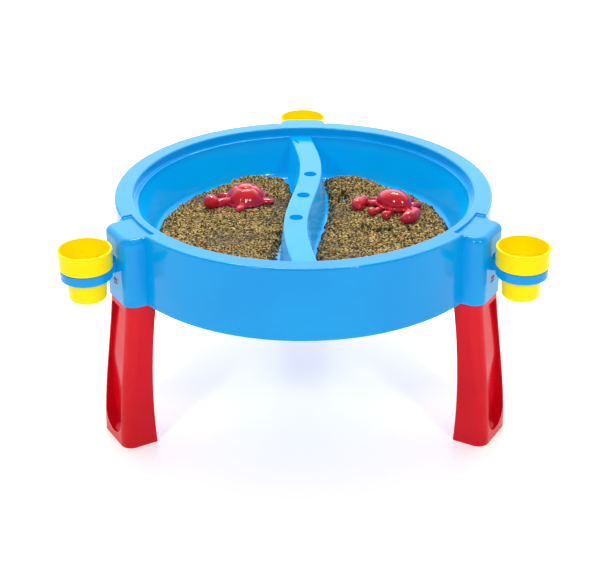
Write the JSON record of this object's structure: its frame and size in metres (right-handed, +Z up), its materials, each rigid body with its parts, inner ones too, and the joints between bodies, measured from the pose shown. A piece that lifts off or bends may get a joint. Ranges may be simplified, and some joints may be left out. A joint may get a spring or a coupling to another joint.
{
  "type": "sand and water table",
  "caption": "Round play table with two basins parted by a wavy divider, on plug-in legs with clip-on cup rings, cups, sand and sand moulds.",
  "frame": {"origin": "on the floor, under the middle of the round tub", "axes": "+Z up, -Y towards the front, between the two front legs; the back leg is on +Y"},
  "size_m": [0.807, 0.791, 0.393],
  "materials": {
    "tub": "glossy moulded polypropylene, sky blue",
    "cup_ring": "glossy moulded polypropylene, sky blue",
    "leg": "glossy moulded polypropylene, red",
    "catch": "glossy moulded polypropylene, red",
    "cup": "satin moulded polypropylene, yellow",
    "mould": "glossy moulded plastic, slightly see-through red",
    "sand": "damp coarse play sand, tan with dark grains"
  },
  "bodies": {
    "table": {"tub": "tub", "leg_back": "leg", "leg_front_left": "leg", "leg_front_right": "leg", "cup_ring_back": "cup_ring", "cup_ring_front_left": "cup_ring", "cup_ring_front_right": "cup_ring", "sand_left": "sand", "sand_right": "sand"},
    "cup_back": {"cup_back": "cup"},
    "cup_front_left": {"cup_front_left": "cup"},
    "cup_front_right": {"cup_front_right": "cup"},
    "leg_catch_back": {"leg_catch_back": "catch"},
    "leg_catch_front_left": {"leg_catch_front_left": "catch"},
    "leg_catch_front_right": {"leg_catch_front_right": "catch"},
    "turtle_mould": {"turtle_mould": "mould"},
    "crab_mould": {"crab_mould": "mould"}
  },
  "joints": [
    {"name": "cup_back_lift", "type": "slide", "parent": "table", "child": "cup_back", "axis": [0, 0, 1], "range_m": [0, 0.12]},
    {"name": "cup_front_left_lift", "type": "slide", "parent": "table", "child": "cup_front_left", "axis": [0, 0, 1], "range_m": [0, 0.12]},
    {"name": "cup_front_right_lift", "type": "slide", "parent": "table", "child": "cup_front_right", "axis": [0, 0, 1], "range_m": [0, 0.12]},
    {"name": "leg_catch_back_press", "type": "hinge", "parent": "table", "child": "leg_catch_back", "pos_m": [0, 0.35889, 0.2755], "axis": [1, 0, 0], "range_deg": [0, 9], "stiffness_Nm_per_rad": 0.6},
    {"name": "leg_catch_front_left_press", "type": "hinge", "parent": "table", "child": "leg_catch_front_left", "pos_m": [-0.31081, -0.17944, 0.2755], "axis": [-0.5, 0.866, 0], "range_deg": [0, 9], "stiffness_Nm_per_rad": 0.6},
    {"name": "leg_catch_front_right_press", "type": "hinge", "parent": "table", "child": "leg_catch_front_right", "pos_m": [0.31081, -0.17944, 0.2755], "axis": [-0.5, -0.866, 0], "range_deg": [0, 9], "stiffness_Nm_per_rad": 0.6},
    {"name": "turtle_mould_lift", "type": "slide", "parent": "table", "child": "turtle_mould", "axis": [0, 0, 1], "range_m": [0, 0.15]},
    {"name": "crab_mould_lift", "type": "slide", "parent": "table", "child": "crab_mould", "axis": [0, 0, 1], "range_m": [0, 0.15]}
  ]
}
